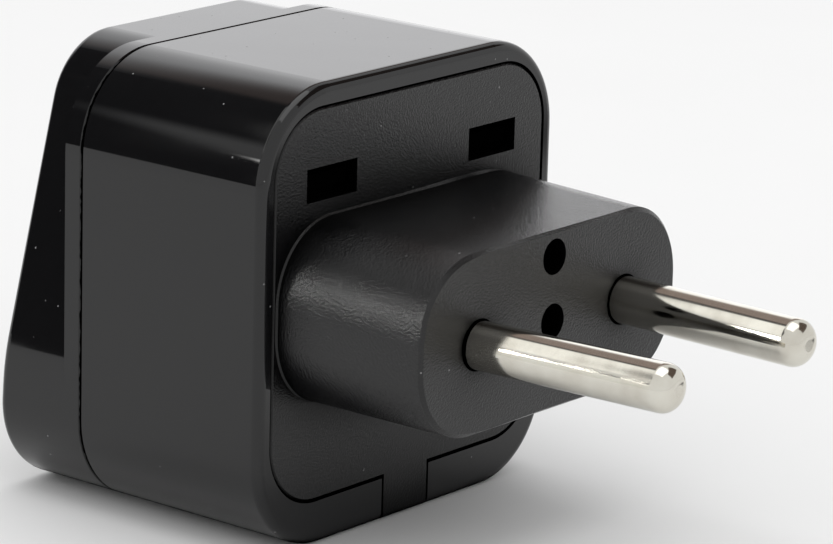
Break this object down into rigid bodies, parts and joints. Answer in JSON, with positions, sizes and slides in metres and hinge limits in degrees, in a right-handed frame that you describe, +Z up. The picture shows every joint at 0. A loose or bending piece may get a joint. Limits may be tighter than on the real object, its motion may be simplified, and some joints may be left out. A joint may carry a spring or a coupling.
{
  "type": "travel adapter",
  "caption": "Compact travel adapter: a two-pin round-pin plug stands out of the back plate, and the leaning front cover holds a universal socket.",
  "frame": {"origin": "centre of the case's flat underside, midway along the case sleeve", "axes": "+Z up, +Y along the pins towards the wall outlet, -Y out of the socket, +X towards the live pin"},
  "size_m": [0.0376, 0.0631, 0.0386],
  "materials": {
    "case_plastic": "gloss moulded",
    "plate_plastic": "satin moulded",
    "inner_moulding": "matt moulded",
    "pin_plating": "nickel plated",
    "brass": "stamped",
    "screw_steel": "zinc plated"
  },
  "bodies": {
    "root": {"housing": "case_plastic", "front_cover": "case_plastic", "rear_plate": "plate_plastic", "contact_carrier": "inner_moulding", "pin_retainer": "inner_moulding", "live_pin": "pin_plating", "live_washer": "brass", "live_strip": "brass", "live_contact": "brass", "live_rivet": "brass", "neutral_pin": "pin_plating", "neutral_washer": "brass", "neutral_strip": "brass", "neutral_contact": "brass", "neutral_rivet": "brass", "case_screw_lower": "screw_steel", "case_screw_upper_left": "screw_steel", "case_screw_upper_right": "screw_steel", "retainer_screw_left": "screw_steel", "retainer_screw_right": "screw_steel"}
  },
  "joints": []
}
